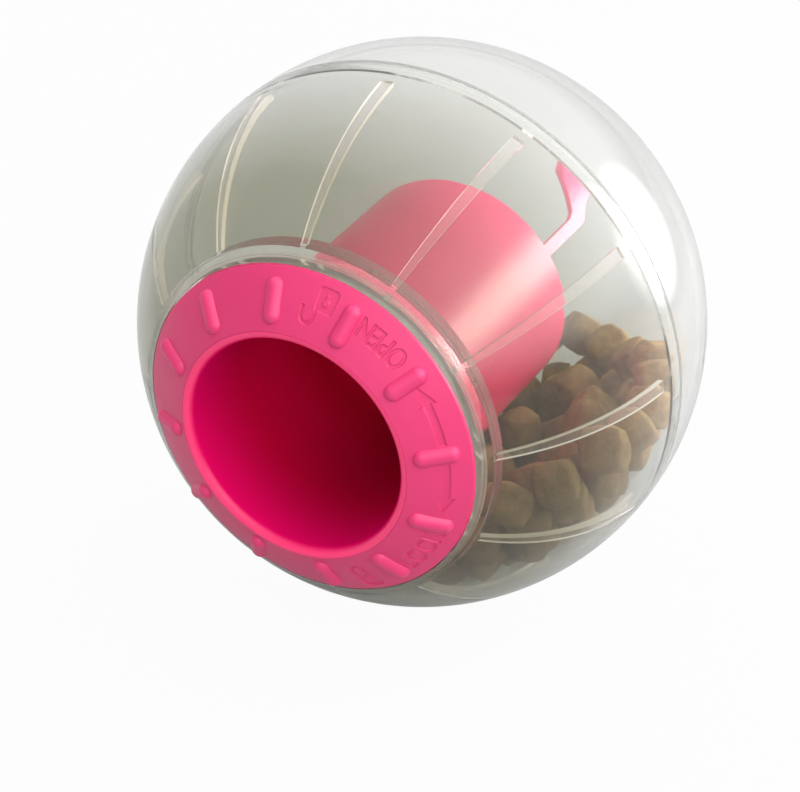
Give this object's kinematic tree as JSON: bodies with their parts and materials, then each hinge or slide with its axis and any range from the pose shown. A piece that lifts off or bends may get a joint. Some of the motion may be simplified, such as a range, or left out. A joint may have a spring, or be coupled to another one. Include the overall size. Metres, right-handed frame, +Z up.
{
  "type": "treat ball",
  "caption": "Clear round treat dispenser for a pet: ribbed smoky front shell, clear rear shell, bayonet dial with grip bars and a lift-out treat chute.",
  "frame": {"origin": "centre of the ball, on the axis of the chute", "axes": "+Z up, -Y out of the chute's mouth, +X to the right as seen from in front of the mouth"},
  "size_m": [0.1, 0.0951, 0.1],
  "materials": {
    "smoky_shell": "gloss",
    "clear_shell": "gloss",
    "pink_dial": "satin",
    "pink_chute": "satin",
    "dry_treat": "matte"
  },
  "bodies": {
    "ball": {"front_shell": "smoky_shell", "rear_shell": "clear_shell", "treats": "dry_treat"},
    "chute": {"chute": "pink_chute"},
    "dial": {"dial": "pink_dial"}
  },
  "joints": [
    {"name": "chute_pull", "type": "slide", "parent": "ball", "child": "chute", "axis": [0, -1, 0], "range_m": [0, 0.085]},
    {"name": "dial_turn", "type": "hinge", "parent": "chute", "child": "dial", "pos_m": [0, 0, 0], "axis": [0, -1, 0], "range_deg": [-40, 0]}
  ]
}
